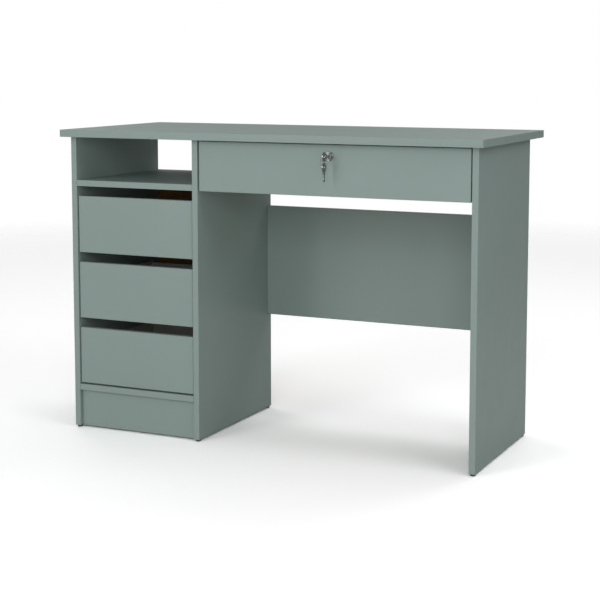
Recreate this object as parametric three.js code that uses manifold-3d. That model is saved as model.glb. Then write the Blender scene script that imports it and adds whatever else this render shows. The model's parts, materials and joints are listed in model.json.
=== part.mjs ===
// A writing desk: a desktop on three upright panels, a pedestal with an open compartment and three
// drawers on the left, and a wide lockable drawer over the knee space.
// Millimetres. X runs to the right, Y to the back and Z up. The origin is on the floor, under the
// middle of the desktop. Parts that touch keep a small air gap, so that every piece is a solid alone.

import * as THREE from 'three';
import { mergeVertices } from 'three/addons/utils/BufferGeometryUtils.js';
import Module from 'manifold-3d';

const wasm = await Module();
wasm.setup();

// ---------------------------------------------------------------- driving dimensions

const DESK_WIDTH = 1100;
const DESK_DEPTH = 485;
const DESK_HEIGHT = 760;
const TOP_THICKNESS = 18;
const BOARD = 15;
const HARDBOARD = 3;
const GAP = 0.3;

const PANEL_DEPTH = 400;
const FRONT_OVERHANG = 24;
const SIDE_OVERHANG = 17;
const PEDESTAL_INSIDE = 330;
const GLIDE_HEIGHT = 5;
const GLIDE_RADIUS = 6.5;
const GLIDE_INSET = 9;

const PLINTH_HEIGHT = 93.5;
const PLINTH_RECESS = 10;
const SHELF_TOP = 633.5;
const MODESTY_BOTTOM = 259;
const MODESTY_HEIGHT = 290;
const MODESTY_SETBACK = 21.5;

const SMALL_FRONT_HEIGHT = 142;
const FINGER_GAP = 25;
const SMALL_FRONT_RECESS = 4;
const SMALL_FRONT_SIDE_GAP = 2.5;
const FRONT_BOTTOM_GAP = 3.8;

const WIDE_FRONT_BOTTOM = 618.5;
const WIDE_FRONT_HEIGHT = 120.3;
const WIDE_FRONT_RECESS = 2.3;
const WIDE_FRONT_SIDE_GAP = 3.5;

const DRAWER_SIDE_LENGTH = 325;
const DRAWER_SIDE_HEIGHT = 92;
const DRAWER_SIDE_LIFT = 11;
const DRAWER_BACK_THICKNESS = 12;
const SMALL_BACK_DROP = 3;
const BOTTOM_LIFT = 6;
const BOTTOM_GROOVE_DEPTH = 5.5;

const RUNNER_HEIGHT = 17;
const RUNNER_LENGTH = 350;
const RUNNER_SETBACK = 21;
const RUNNER_GROOVE_DEPTH = 7.5;
const RUNNER_PLAY = 0.4;
const RUNNER_LIFT = 38;

const SCREW_RADIUS = 1.8;
const SCREW_HEAD_RADIUS = 3.6;
const SCREW_HEAD = 1.8;
const FASTENER_SIDES = 8;
const ROUND_SIDES = 24;

const LOCK_BELOW_FRONT_TOP = 26.8;
const LOCK_PROTRUSION = 7.8;
const ROSETTE_RADIUS = 11;
const ROSETTE_THICKNESS = 2.2;
const BARREL_RADIUS = 9;
const BOSS_RADIUS = 7.5;
const PLUG_RADIUS = 6.2;
const BOLT_TRAVEL = 8;
const KEY_LENGTH = 45;
const KEY_BOW_RADIUS = 11;
const KEY_HOLE_RADIUS = 3;
const KEY_HOLE_FROM_END = 10;
const KEY_NECK = 9;
const KEY_SHOULDER = 27;
const KEY_BLADE = 6.8;
const KEY_THICKNESS = 2;
const KEY_STICKS_OUT = 31.3;
const RING_RADIUS = 9.5;
const RING_WIRE = 0.6;

// ---------------------------------------------------------------- places worked out from them

const UNDER_TOP = DESK_HEIGHT - TOP_THICKNESS;
const PANEL_FRONT = -DESK_DEPTH / 2 + FRONT_OVERHANG;
const PANEL_BACK = PANEL_FRONT + PANEL_DEPTH;
const LEFT_PANEL_X = -DESK_WIDTH / 2 + SIDE_OVERHANG;
const PEDESTAL_LEFT = LEFT_PANEL_X + BOARD;
const PEDESTAL_RIGHT = PEDESTAL_LEFT + PEDESTAL_INSIDE;
const KNEE_LEFT = PEDESTAL_RIGHT + BOARD;
const KNEE_RIGHT = DESK_WIDTH / 2 - SIDE_OVERHANG - BOARD;
const SHELF_BOTTOM = SHELF_TOP - BOARD;
const FLOOR_BOARD_BOTTOM = GLIDE_HEIGHT + PLINTH_HEIGHT;
const FLOOR_BOARD_TOP = FLOOR_BOARD_BOTTOM + BOARD;
const MODESTY_FRONT = PANEL_BACK - MODESTY_SETBACK;
const MODESTY_TOP = MODESTY_BOTTOM + MODESTY_HEIGHT;

const melamine = { color: 0x87968f, roughness: 0.5, metalness: 0 };
const drawerBoard = { color: 0xb9bcb8, roughness: 0.6, metalness: 0 };
const hardboard = { color: 0x8a6238, roughness: 0.85, metalness: 0 };
const runnerPlastic = { color: 0xe4e4df, roughness: 0.45, metalness: 0 };
const glidePlastic = { color: 0x4b4f4d, roughness: 0.5, metalness: 0 };
const zincPlate = { color: 0xb4b8bb, roughness: 0.4, metalness: 0.9 };
const nickel = { color: 0xc9c6c1, roughness: 0.22, metalness: 1 };
const brass = { color: 0xb59a62, roughness: 0.35, metalness: 1 };

// ---------------------------------------------------------------- solids

const desk = new THREE.Group();
const cutters = new Map();

function addMesh(name, geometry, look) {
  const mesh = new THREE.Mesh(geometry, new THREE.MeshStandardMaterial(look));
  mesh.name = name;
  desk.add(mesh);
  return mesh;
}

function toSolid(geometry) {
  const bare = geometry.clone();
  bare.deleteAttribute('normal');
  bare.deleteAttribute('uv');
  const merged = mergeVertices(bare, 1e-4);
  const vertProperties = new Float32Array(merged.attributes.position.array);
  const triVerts = new Uint32Array(merged.index.array);
  return new wasm.Manifold(new wasm.Mesh({ numProp: 3, vertProperties, triVerts }));
}

function toGeometry(solid) {
  const mesh = solid.getMesh();
  const geometry = new THREE.BufferGeometry();
  geometry.setAttribute('position', new THREE.BufferAttribute(mesh.vertProperties, 3));
  geometry.setIndex(new THREE.BufferAttribute(mesh.triVerts, 1));
  geometry.computeVertexNormals();
  return geometry;
}

// A block between two corners.
function block([x0, y0, z0], [x1, y1, z1]) {
  const geometry = new THREE.BoxGeometry(x1 - x0, y1 - y0, z1 - z0);
  return geometry.translate((x0 + x1) / 2, (y0 + y1) / 2, (z0 + z1) / 2);
}

// Points a geometry made along +Y from `from` towards `to`.
function aim(geometry, from, to) {
  const start = new THREE.Vector3(...from);
  const direction = new THREE.Vector3(...to).sub(start).normalize();
  const turn = new THREE.Quaternion().setFromUnitVectors(new THREE.Vector3(0, 1, 0), direction);
  return geometry.applyQuaternion(turn).translate(start.x, start.y, start.z);
}

// A round bar between two points.
function rod(from, to, radius, sides = FASTENER_SIDES) {
  const length = new THREE.Vector3(...from).distanceTo(new THREE.Vector3(...to));
  const bar = new THREE.CylinderGeometry(radius, radius, length, sides).translate(0, length / 2, 0);
  return aim(bar, from, to);
}

// A turned piece: radius and height pairs from the axis at one end to the axis at the other.
function turned(profile, from, to, sides = FASTENER_SIDES) {
  const points = profile.map(([radius, height]) => new THREE.Vector2(radius, height));
  return aim(new THREE.LatheGeometry(points, sides), from, to);
}

function moved(point, axis, distance) {
  const result = [...point];
  result['xyz'.indexOf(axis)] += distance;
  return result;
}

// Remembers that these boards are cut by a shape.
function cut(names, geometry) {
  for (const name of names) {
    if (!cutters.has(name)) cutters.set(name, []);
    cutters.get(name).push(toSolid(geometry));
  }
}

function bore(names, from, to, radius, sides = FASTENER_SIDES) {
  cut(names, rod(from, to, radius + GAP, sides));
}

function addBoard(name, low, high, look) {
  const cuts = cutters.get(name) ?? [];
  const board = block(low, high);
  if (cuts.length === 0) return addMesh(name, board, look);
  const solid = cuts.reduce((body, cutter) => body.subtract(cutter), toSolid(board));
  return addMesh(name, toGeometry(solid), look);
}

// ---------------------------------------------------------------- uprights, glides and brackets

const uprights = [
  { side: 'left', name: 'left_side_panel', x: LEFT_PANEL_X },
  { side: 'middle', name: 'inner_side_panel', x: PEDESTAL_RIGHT },
  { side: 'right', name: 'right_side_panel', x: KNEE_RIGHT },
];

// A domed glide is nailed under the front and the back of each upright.
const GLIDE_NAIL_RADIUS = 1.2;
const GLIDE_NAIL_LENGTH = 12;
const GLIDE_SIDES = 16;

function addGlide(name, upright, base) {
  const top = GLIDE_HEIGHT - GAP;
  const profile = [
    [0, 0],
    [GLIDE_RADIUS * 0.72, 0],
    [GLIDE_RADIUS * 0.93, top * 0.25],
    [GLIDE_RADIUS, top * 0.6],
    [GLIDE_RADIUS, top],
    [GLIDE_NAIL_RADIUS, top],
    [GLIDE_NAIL_RADIUS, top + GLIDE_NAIL_LENGTH],
    [0, top + GLIDE_NAIL_LENGTH],
  ];
  const nailEnd = moved(base, 'z', top + GLIDE_NAIL_LENGTH + GAP);
  bore([upright], base, nailEnd, GLIDE_NAIL_RADIUS, GLIDE_SIDES);
  addMesh(name, turned(profile, base, moved(base, 'z', 1), GLIDE_SIDES), glidePlastic);
}

for (const { side, name, x } of uprights) {
  addGlide(`floor_glide_${side}_front`, name, [x + BOARD / 2, PANEL_FRONT + GLIDE_INSET, 0]);
  addGlide(`floor_glide_${side}_back`, name, [x + BOARD / 2, PANEL_BACK - GLIDE_INSET, 0]);
}

// A steel angle ties the desktop to the back of each upright.
const BRACKET_LEG = 26;
const BRACKET_WIDTH = 16;
const BRACKET_STEEL = 2;
const BRACKET_Y = 150;

function addBracket(name, face, sign) {
  const outline = new THREE.Shape();
  outline.moveTo(0, 0);
  outline.lineTo(BRACKET_LEG, 0);
  outline.lineTo(BRACKET_LEG, -BRACKET_STEEL);
  outline.lineTo(BRACKET_STEEL, -BRACKET_STEEL);
  outline.lineTo(BRACKET_STEEL, -BRACKET_LEG);
  outline.lineTo(0, -BRACKET_LEG);
  outline.closePath();
  const angle = new THREE.ExtrudeGeometry(outline, { depth: BRACKET_WIDTH, bevelEnabled: false });
  angle.rotateX(Math.PI / 2).translate(0, BRACKET_WIDTH / 2, 0);
  if (sign < 0) angle.rotateZ(Math.PI);
  const holeFromCorner = (BRACKET_LEG + BRACKET_STEEL) / 2;
  const across = [sign * holeFromCorner, 0, 0];
  const down = [0, 0, -holeFromCorner];
  const drills = [
    rod(moved(across, 'z', -2 * BRACKET_STEEL), moved(across, 'z', BRACKET_STEEL), SCREW_RADIUS + GAP),
    rod(moved(down, 'x', -BRACKET_STEEL), moved(down, 'x', 2 * BRACKET_STEEL), SCREW_RADIUS + GAP),
  ];
  if (sign < 0) drills[1].rotateZ(Math.PI);
  const solid = drills.reduce((body, drill) => body.subtract(toSolid(drill)), toSolid(angle));
  addMesh(name, toGeometry(solid), zincPlate).position.set(face + sign * GAP, BRACKET_Y, UNDER_TOP - GAP);
}

addBracket('corner_bracket_left', PEDESTAL_LEFT, 1);
addBracket('corner_bracket_middle', KNEE_LEFT, 1);
addBracket('corner_bracket_right', KNEE_RIGHT, -1);

// ---------------------------------------------------------------- drawers

const RUNNER_SCREW_INSET = 40;
const COUNTERBORE = 2.6;

// A plastic strip screwed to an upright; it fills the groove in a drawer's side.
function addRunner(name, face, sign, standOff, middle) {
  const front = PANEL_FRONT + RUNNER_SETBACK;
  const thickness = standOff + RUNNER_GROOVE_DEPTH - RUNNER_PLAY;
  const ends = [face + sign * GAP, face + sign * thickness].sort((a, b) => a - b);
  for (const y of [front + RUNNER_SCREW_INSET, front + RUNNER_LENGTH - RUNNER_SCREW_INSET]) {
    const seat = [face + sign * (thickness - COUNTERBORE), y, middle];
    cut([name], rod(seat, moved(seat, 'x', sign * 2 * COUNTERBORE), SCREW_HEAD_RADIUS + GAP));
  }
  addBoard(
    name,
    [ends[0], front, middle - RUNNER_HEIGHT / 2],
    [ends[1], front + RUNNER_LENGTH, middle + RUNNER_HEIGHT / 2],
    runnerPlastic,
  );
}

// A drawer box: a front, two grooved sides, a back and a thin bottom let into grooves.
function addDrawer({ name, left, right, front, low, frontHeight, standOff, backDrop }) {
  const parts = Object.fromEntries(
    ['front', 'left_side', 'right_side', 'back', 'bottom'].map((part) => [part, `${name}_${part}`]),
  );
  const frontBack = front + BOARD;
  const sideLow = low + DRAWER_SIDE_LIFT;
  const sideHigh = sideLow + DRAWER_SIDE_HEIGHT;
  const sideBack = frontBack + DRAWER_SIDE_LENGTH;
  const innerLeft = left + BOARD;
  const innerRight = right - BOARD;
  const bottomLow = sideLow + BOTTOM_LIFT;
  const bottomHigh = bottomLow + HARDBOARD;
  const backFront = sideBack - DRAWER_BACK_THICKNESS;
  const reach = BOTTOM_GROOVE_DEPTH;

  const bottomGroove = block(
    [innerLeft - reach, frontBack - reach, bottomLow - GAP],
    [innerRight + reach, sideBack + 1, bottomHigh + GAP],
  );
  cut([parts.front, parts.left_side, parts.right_side], bottomGroove);

  const runnerMiddle = sideLow + RUNNER_LIFT;
  const halfGroove = RUNNER_HEIGHT / 2 + RUNNER_PLAY;
  const grooveLeft = block(
    [left - 1, frontBack - 1, runnerMiddle - halfGroove],
    [left + RUNNER_GROOVE_DEPTH, sideBack + 1, runnerMiddle + halfGroove],
  );
  const grooveRight = block(
    [right - RUNNER_GROOVE_DEPTH, frontBack - 1, runnerMiddle - halfGroove],
    [right + 1, sideBack + 1, runnerMiddle + halfGroove],
  );
  cut([parts.left_side], grooveLeft);
  cut([parts.right_side], grooveRight);

  addBoard(parts.front, [left, front, low], [right, frontBack, low + frontHeight], melamine);
  const sideFront = frontBack + GAP;
  addBoard(parts.left_side, [left, sideFront, sideLow], [innerLeft, sideBack, sideHigh], drawerBoard);
  addBoard(parts.right_side, [innerRight, sideFront, sideLow], [right, sideBack, sideHigh], drawerBoard);
  addBoard(
    parts.back,
    [innerLeft + GAP, backFront, bottomHigh + GAP],
    [innerRight - GAP, sideBack, sideHigh - backDrop],
    drawerBoard,
  );
  addBoard(
    parts.bottom,
    [innerLeft - reach + 2 * GAP, frontBack - reach + 2 * GAP, bottomLow],
    [innerRight + reach - 2 * GAP, sideBack, bottomHigh],
    hardboard,
  );

  addRunner(`${name}_runner_left`, left - standOff, 1, standOff, runnerMiddle);
  addRunner(`${name}_runner_right`, right + standOff, -1, standOff, runnerMiddle);
}

const smallPitch = SMALL_FRONT_HEIGHT + FINGER_GAP;
const lowestFront = FLOOR_BOARD_TOP + FRONT_BOTTOM_GAP;
['bottom_drawer', 'middle_drawer', 'top_drawer'].forEach((name, index) => {
  addDrawer({
    name,
    left: PEDESTAL_LEFT + SMALL_FRONT_SIDE_GAP,
    right: PEDESTAL_RIGHT - SMALL_FRONT_SIDE_GAP,
    front: PANEL_FRONT + SMALL_FRONT_RECESS,
    low: lowestFront + index * smallPitch,
    frontHeight: SMALL_FRONT_HEIGHT,
    standOff: SMALL_FRONT_SIDE_GAP,
    backDrop: SMALL_BACK_DROP,
  });
});

// ---------------------------------------------------------------- lock of the wide drawer

const WIDE_FRONT_FACE = PANEL_FRONT + WIDE_FRONT_RECESS;
const WIDE_FRONT_TOP = WIDE_FRONT_BOTTOM + WIDE_FRONT_HEIGHT;
const LOCK_X = (KNEE_LEFT + KNEE_RIGHT) / 2;
const LOCK_Z = WIDE_FRONT_TOP - LOCK_BELOW_FRONT_TOP;
const LOCK_FACE = WIDE_FRONT_FACE - LOCK_PROTRUSION;
const LOCK_BACK = WIDE_FRONT_FACE + BOARD;
const CASE_HALF_WIDTH = 21;
const CASE_BELOW_AXIS = 17;
const CASE_ABOVE_AXIS = 25;
const CASE_DEPTH = 11;
const BOLT_HALF_WIDTH = 11;
const BOLT_THICKNESS = 4;
const BOLT_FRONT = LOCK_BACK + 4.7;
const BOLT_BELOW_AXIS = 13;
const BOLT_PLAY = 0.5;
const PIN_RADIUS = 2;
const PIN_OFFSET = BOLT_TRAVEL / 2;
const PIN_SIDES = 12;
const LOCK_SCREW_BITE = 9;
const LOCK_SCREW_ACROSS = 16.5;
const LOCK_SCREW_HEIGHTS = [-12, 18];
const KEYWAY_HALF_HEIGHT = 4.2;
const KEYWAY_SPARE_DEPTH = 3;

const lockPoint = (x, y, z) => [LOCK_X + x, y, LOCK_Z + z];
const lockBlock = (low, high) => toSolid(block(lockPoint(...low), lockPoint(...high)));
const lockRod = (front, back, radius) => {
  const ends = [lockPoint(0, front, 0), lockPoint(0, back, 0)];
  return toSolid(rod(...ends, radius, ROUND_SIDES));
};

// A pan-head screw through the case into the back of the drawer front.
function addLockScrew(name, seat) {
  const grip = CASE_DEPTH + LOCK_SCREW_BITE;
  const profile = [
    [0, 0],
    [SCREW_HEAD_RADIUS * 0.6, 0],
    [SCREW_HEAD_RADIUS, SCREW_HEAD * 0.6],
    [SCREW_HEAD_RADIUS, SCREW_HEAD],
    [SCREW_RADIUS, SCREW_HEAD],
    [SCREW_RADIUS, SCREW_HEAD + grip],
    [0, SCREW_HEAD + grip],
  ];
  bore(['centre_drawer_front'], seat, moved(seat, 'y', -grip - GAP), SCREW_RADIUS);
  addMesh(name, turned(profile, moved(seat, 'y', SCREW_HEAD), seat), zincPlate);
}

// The case holds the barrel in front and a slot for the bolt that opens at its top.
function addLockCase() {
  const caseFront = LOCK_BACK + GAP;
  const caseBack = caseFront + CASE_DEPTH;
  let body = lockBlock(
    [-CASE_HALF_WIDTH, caseFront, -CASE_BELOW_AXIS],
    [CASE_HALF_WIDTH, caseBack, CASE_ABOVE_AXIS],
  );
  body = body.add(lockRod(caseFront + 1, WIDE_FRONT_FACE, BARREL_RADIUS));
  body = body.add(lockRod(caseFront + 1, LOCK_FACE + GAP, BOSS_RADIUS));
  body = body.subtract(lockRod(LOCK_FACE - 1, BOLT_FRONT, PLUG_RADIUS + GAP));
  const slotHalfWidth = BOLT_HALF_WIDTH + BOLT_PLAY;
  body = body.subtract(lockBlock(
    [-slotHalfWidth, BOLT_FRONT - BOLT_PLAY, -BOLT_BELOW_AXIS - BOLT_PLAY],
    [slotHalfWidth, BOLT_FRONT + BOLT_THICKNESS + BOLT_PLAY, CASE_ABOVE_AXIS + 1],
  ));
  let screw = 0;
  for (const z of LOCK_SCREW_HEIGHTS) {
    for (const x of [-LOCK_SCREW_ACROSS, LOCK_SCREW_ACROSS]) {
      const seat = lockPoint(x, caseBack, z);
      const drill = rod(moved(seat, 'y', 1), moved(seat, 'y', -CASE_DEPTH - 1), SCREW_RADIUS + GAP);
      body = body.subtract(toSolid(drill));
      screw += 1;
      addLockScrew(`lock_screw_${screw}`, moved(seat, 'y', GAP));
    }
  }
  addMesh('lock_case', toGeometry(body), zincPlate);
  const holeEnds = [lockPoint(0, WIDE_FRONT_FACE - 1, 0), lockPoint(0, LOCK_BACK + 1, 0)];
  bore(['centre_drawer_front'], ...holeEnds, BARREL_RADIUS, ROUND_SIDES);
}

// A ring that covers the edge of the hole in the drawer front.
function addRosette() {
  const hole = BOSS_RADIUS + GAP;
  const profile = [
    [hole, 0],
    [ROSETTE_RADIUS, 0],
    [ROSETTE_RADIUS, ROSETTE_THICKNESS * 0.45],
    [ROSETTE_RADIUS - ROSETTE_THICKNESS * 0.64, ROSETTE_THICKNESS],
    [hole, ROSETTE_THICKNESS],
    [hole, 0],
  ];
  const start = lockPoint(0, WIDE_FRONT_FACE - GAP, 0);
  addMesh('lock_rosette', turned(profile, start, moved(start, 'y', -1), ROUND_SIDES), nickel);
}

// The plug turns with the key; a pin behind it, off its axis, lifts the bolt.
function addPlugAndBolt() {
  const plugBack = BOLT_FRONT - BOLT_PLAY / 2;
  const pinCentre = (y) => lockPoint(-PIN_OFFSET, y, -PIN_OFFSET);
  const pinStart = pinCentre(plugBack - BOLT_PLAY / 5);
  const pinEnd = pinCentre(BOLT_FRONT + BOLT_THICKNESS - GAP);
  const keywayHalfWidth = KEY_THICKNESS / 2 + GAP;
  const keywayEnd = LOCK_FACE + KEY_LENGTH - KEY_STICKS_OUT + KEYWAY_SPARE_DEPTH;
  let plug = lockRod(LOCK_FACE, plugBack, PLUG_RADIUS);
  plug = plug.add(toSolid(rod(pinStart, pinEnd, PIN_RADIUS, PIN_SIDES)));
  plug = plug.subtract(lockBlock(
    [-keywayHalfWidth, LOCK_FACE - 1, -KEYWAY_HALF_HEIGHT],
    [keywayHalfWidth, keywayEnd, KEYWAY_HALF_HEIGHT],
  ));
  addMesh('lock_plug', toGeometry(plug), nickel);

  const pinReach = Math.SQRT2 * PIN_OFFSET;
  const pinRoom = PIN_RADIUS + BOLT_PLAY;
  let bolt = lockBlock(
    [-BOLT_HALF_WIDTH, BOLT_FRONT, -BOLT_BELOW_AXIS],
    [BOLT_HALF_WIDTH, BOLT_FRONT + BOLT_THICKNESS, CASE_ABOVE_AXIS],
  );
  bolt = bolt.subtract(lockBlock(
    [-pinReach - pinRoom, BOLT_FRONT - 1, -PIN_OFFSET - pinRoom],
    [-PIN_OFFSET + pinRoom, BOLT_FRONT + BOLT_THICKNESS + 1, -PIN_OFFSET + pinRoom],
  ));
  addMesh('lock_bolt', toGeometry(bolt), brass);
}

const KEY_TIP = 1.6;
const KEY_TIP_TAPER = 2.5;
const KEY_CUT_MOUTH = 3.2;
const KEY_CUT_FLOOR = 1;
const KEY_CUTS = [{ at: 31, depth: 1.3 }, { at: 35, depth: 0.7 }, { at: 39, depth: 1.5 }];

// A flat key along +X from the far end of its bow, centred on its thickness, cut alike on both edges.
function keyGeometry() {
  const neckAngle = Math.asin(KEY_NECK / 2 / KEY_BOW_RADIUS);
  const blade = KEY_BLADE / 2;
  const edge = [[KEY_SHOULDER, KEY_NECK / 2], [KEY_SHOULDER, blade]];
  for (const { at, depth } of KEY_CUTS) {
    edge.push([at - KEY_CUT_MOUTH / 2, blade], [at - KEY_CUT_FLOOR / 2, blade - depth]);
    edge.push([at + KEY_CUT_FLOOR / 2, blade - depth], [at + KEY_CUT_MOUTH / 2, blade]);
  }
  edge.push([KEY_LENGTH - KEY_TIP_TAPER, blade], [KEY_LENGTH, KEY_TIP / 2]);

  const outline = new THREE.Shape();
  outline.absarc(KEY_BOW_RADIUS, 0, KEY_BOW_RADIUS, neckAngle, 2 * Math.PI - neckAngle, false);
  for (const [x, y] of edge) outline.lineTo(x, -y);
  for (const [x, y] of edge.reverse()) outline.lineTo(x, y);
  outline.closePath();
  const hole = new THREE.Path();
  hole.absarc(KEY_HOLE_FROM_END, 0, KEY_HOLE_RADIUS, 0, 2 * Math.PI, true);
  outline.holes.push(hole);
  const options = { depth: KEY_THICKNESS, bevelEnabled: false, curveSegments: 10 };
  return new THREE.ExtrudeGeometry(outline, options).translate(0, 0, -KEY_THICKNESS / 2);
}

function addKeys() {
  // The key in the lock lies along Y with its bow upright.
  const bowEnd = LOCK_FACE - KEY_STICKS_OUT;
  const inLock = keyGeometry().rotateZ(Math.PI / 2).rotateY(Math.PI / 2);
  addMesh('key_in_lock', inLock.translate(LOCK_X, bowEnd, LOCK_Z), nickel);

  // The ring hangs in the bow's hole, and the spare key hangs at the ring's lowest point.
  const ringY = bowEnd + KEY_HOLE_FROM_END;
  const wireTop = LOCK_Z - KEY_HOLE_RADIUS + RING_WIRE + GAP;
  const ringZ = wireTop - RING_RADIUS;
  const wire = [];
  const wireSides = 8;
  for (let step = 0; step <= wireSides; step += 1) {
    const angle = (step / wireSides) * 2 * Math.PI;
    wire.push(new THREE.Vector2(RING_RADIUS + RING_WIRE * Math.cos(angle), RING_WIRE * Math.sin(angle)));
  }
  addMesh('key_ring', new THREE.LatheGeometry(wire, ROUND_SIDES), nickel).position.set(LOCK_X, ringY, ringZ);

  const spareHole = ringZ - RING_RADIUS + RING_WIRE + GAP - KEY_HOLE_RADIUS;
  const spare = keyGeometry().rotateY(Math.PI / 2);
  addMesh('spare_key', spare.translate(LOCK_X, ringY, spareHole + KEY_HOLE_FROM_END), nickel);
}

addLockCase();
addRosette();
addPlugAndBolt();
addKeys();

addDrawer({
  name: 'centre_drawer',
  left: KNEE_LEFT + WIDE_FRONT_SIDE_GAP,
  right: KNEE_RIGHT - WIDE_FRONT_SIDE_GAP,
  front: WIDE_FRONT_FACE,
  low: WIDE_FRONT_BOTTOM,
  frontHeight: WIDE_FRONT_HEIGHT,
  standOff: WIDE_FRONT_SIDE_GAP,
  backDrop: 0,
});

// The strike plate under the desktop takes the bolt; above it the desktop has a mortise.
const STRIKE_HALF_WIDTH = 24;
const STRIKE_HALF_DEPTH = 8;
const STRIKE_THICKNESS = 1.2;
const STRIKE_PLAY = 1.5;
const MORTISE_DEPTH = 9;

function addStrike() {
  const middle = BOLT_FRONT + BOLT_THICKNESS / 2;
  const slotHalfWidth = BOLT_HALF_WIDTH + STRIKE_PLAY;
  const slotHalfDepth = BOLT_THICKNESS / 2 + STRIKE_PLAY;
  const top = UNDER_TOP - GAP;
  const plate = toSolid(block(
    [LOCK_X - STRIKE_HALF_WIDTH, middle - STRIKE_HALF_DEPTH, top - STRIKE_THICKNESS],
    [LOCK_X + STRIKE_HALF_WIDTH, middle + STRIKE_HALF_DEPTH, top],
  ));
  const slot = block(
    [LOCK_X - slotHalfWidth, middle - slotHalfDepth, top - STRIKE_THICKNESS - 1],
    [LOCK_X + slotHalfWidth, middle + slotHalfDepth, UNDER_TOP + MORTISE_DEPTH],
  );
  cut(['desktop'], slot);
  addMesh('strike_plate', toGeometry(plate.subtract(toSolid(slot))), zincPlate);
}
addStrike();

// ---------------------------------------------------------------- boards of the carcass

const halfWidth = DESK_WIDTH / 2;
const halfDepth = DESK_DEPTH / 2;
addBoard('desktop', [-halfWidth, -halfDepth, UNDER_TOP], [halfWidth, halfDepth, DESK_HEIGHT], melamine);
for (const { name, x } of uprights) {
  addBoard(name, [x, PANEL_FRONT, GLIDE_HEIGHT], [x + BOARD, PANEL_BACK, UNDER_TOP - GAP], melamine);
}

const shelfLeft = PEDESTAL_LEFT + GAP;
const shelfRight = PEDESTAL_RIGHT - GAP;
addBoard('open_shelf', [shelfLeft, PANEL_FRONT, SHELF_BOTTOM], [shelfRight, PANEL_BACK, SHELF_TOP], melamine);
addBoard(
  'bottom_panel',
  [shelfLeft, PANEL_FRONT, FLOOR_BOARD_BOTTOM],
  [shelfRight, PANEL_BACK, FLOOR_BOARD_TOP],
  melamine,
);
const plinthFront = PANEL_FRONT + PLINTH_RECESS;
addBoard(
  'plinth_board',
  [shelfLeft, plinthFront, GLIDE_HEIGHT],
  [shelfRight, plinthFront + BOARD, FLOOR_BOARD_BOTTOM - GAP],
  melamine,
);
addBoard(
  'modesty_panel',
  [KNEE_LEFT + GAP, MODESTY_FRONT, MODESTY_BOTTOM],
  [KNEE_RIGHT - GAP, MODESTY_FRONT + BOARD, MODESTY_TOP],
  melamine,
);
const BACK_MARGIN = 2;
addBoard(
  'pedestal_back_panel',
  [LEFT_PANEL_X + BACK_MARGIN, PANEL_BACK + GAP, FLOOR_BOARD_BOTTOM + BACK_MARGIN],
  [KNEE_LEFT - BACK_MARGIN, PANEL_BACK + GAP + HARDBOARD, SHELF_TOP - BACK_MARGIN],
  hardboard,
);

export default desk;
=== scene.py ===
import json
import math

import bmesh
import bpy
from mathutils import Matrix, Vector


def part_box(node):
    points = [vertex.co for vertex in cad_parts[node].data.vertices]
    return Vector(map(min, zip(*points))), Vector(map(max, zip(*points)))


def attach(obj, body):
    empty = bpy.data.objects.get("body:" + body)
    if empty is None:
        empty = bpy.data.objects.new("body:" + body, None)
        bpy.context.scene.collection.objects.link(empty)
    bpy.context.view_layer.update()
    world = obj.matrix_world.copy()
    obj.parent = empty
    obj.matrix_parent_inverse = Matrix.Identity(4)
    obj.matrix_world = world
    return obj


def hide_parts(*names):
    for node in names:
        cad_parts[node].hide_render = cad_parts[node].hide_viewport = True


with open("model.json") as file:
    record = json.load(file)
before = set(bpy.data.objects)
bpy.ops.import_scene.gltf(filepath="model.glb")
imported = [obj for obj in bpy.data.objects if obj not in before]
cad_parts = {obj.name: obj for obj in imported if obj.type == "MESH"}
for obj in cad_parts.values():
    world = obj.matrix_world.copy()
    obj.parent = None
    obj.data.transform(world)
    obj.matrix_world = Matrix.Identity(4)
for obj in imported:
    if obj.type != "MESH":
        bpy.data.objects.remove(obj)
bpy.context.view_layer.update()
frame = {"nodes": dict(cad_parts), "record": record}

MM = 0.001
# Corners closer together than this are joined.
WELD_DISTANCE = 0.001 * MM
# How far a cutter, or a shape that is joined on, passes the surface it meets.
OVERSHOOT = 1 * MM
X, Y, Z = Vector((1, 0, 0)), Vector((0, 1, 0)), Vector((0, 0, 1))

# ------------------------------------------------------------------ materials


def linear(red, green, blue):
    """The linear colour that a shader takes, from how it looks on a screen: three values from 11 to 255."""
    return tuple(((c / 255 + 0.055) / 1.055) ** 2.4 for c in (red, green, blue)) + (1,)


def shade(colour, factor):
    """A colour made darker or lighter by a factor."""
    return tuple(c * factor for c in colour[:3]) + (1,)


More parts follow.
